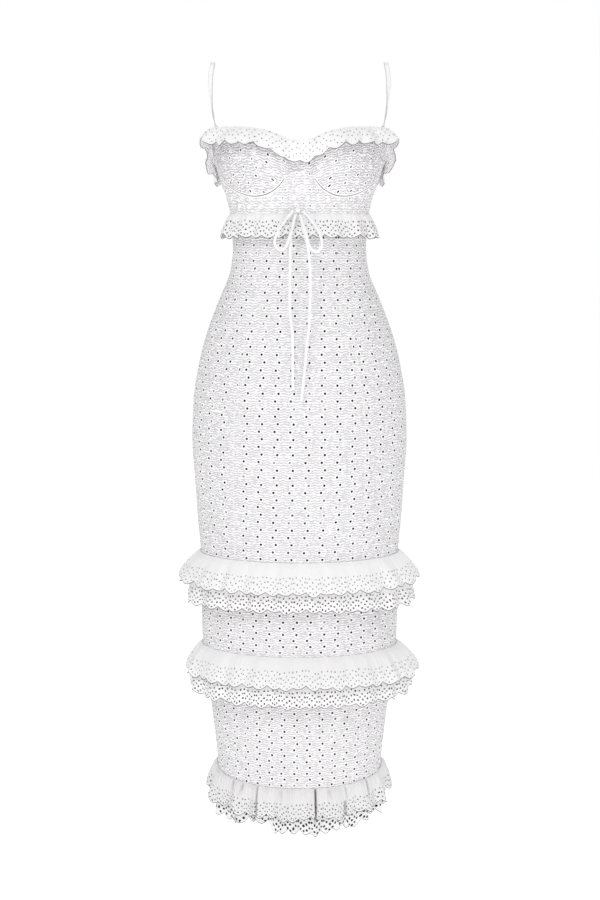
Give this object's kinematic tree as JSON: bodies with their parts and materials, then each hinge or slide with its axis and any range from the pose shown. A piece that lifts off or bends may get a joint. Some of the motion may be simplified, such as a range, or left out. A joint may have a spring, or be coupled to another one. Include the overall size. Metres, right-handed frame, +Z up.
{
  "type": "maxi dress",
  "caption": "Sleeveless fitted maxi dress with sweetheart cups, thin shoulder straps, a front drawstring bow and double scalloped ruffle tiers on a slim skirt.",
  "frame": {"origin": "midway between the tops of the two shoulder straps, where the wearer's shoulders carry them", "axes": "+Z up, the front of the dress faces -Y, +X to the right of someone who looks at the front"},
  "size_m": [0.4184, 0.2946, 1.2877],
  "materials": {
    "eyelet_cloth": "crinkled white cotton with rows of small embroidered eyelets",
    "embroidered_trim": "smooth white cotton trim with pierced embroidery and a scalloped edge",
    "strap_and_cord": "smooth white bias-cut cotton, turned and stitched"
  },
  "bodies": {
    "root": {"cup_left": "eyelet_cloth", "cup_right": "eyelet_cloth", "bodice_band": "eyelet_cloth", "bodice_side_left": "eyelet_cloth", "bodice_side_right": "eyelet_cloth", "bodice_back_left": "eyelet_cloth", "bodice_back_right": "eyelet_cloth", "skirt_front": "eyelet_cloth", "skirt_side_left": "eyelet_cloth", "skirt_side_right": "eyelet_cloth", "skirt_back_left": "eyelet_cloth", "skirt_back_right": "eyelet_cloth", "skirt_middle_front": "eyelet_cloth", "skirt_middle_back": "eyelet_cloth", "skirt_lower_front": "eyelet_cloth", "skirt_lower_back": "eyelet_cloth", "waist_ruffle_front": "embroidered_trim", "waist_ruffle_back": "embroidered_trim", "tier_1_under_front": "embroidered_trim", "tier_1_under_back": "embroidered_trim", "tier_1_upper_front": "embroidered_trim", "tier_1_upper_back": "embroidered_trim", "tier_2_under_front": "embroidered_trim", "tier_2_under_back": "embroidered_trim", "tier_2_upper_front": "embroidered_trim", "tier_2_upper_back": "embroidered_trim", "hem_under_front": "embroidered_trim", "hem_under_back": "embroidered_trim", "hem_upper_front": "embroidered_trim", "hem_upper_back": "embroidered_trim", "neck_ruffle_front": "embroidered_trim", "neck_ruffle_back": "embroidered_trim", "strap_left": "strap_and_cord", "strap_right": "strap_and_cord", "bow_loop_left": "strap_and_cord", "bow_loop_right": "strap_and_cord", "bow_tail_left": "strap_and_cord", "bow_tail_right": "strap_and_cord", "bow_knot": "strap_and_cord"}
  },
  "joints": []
}
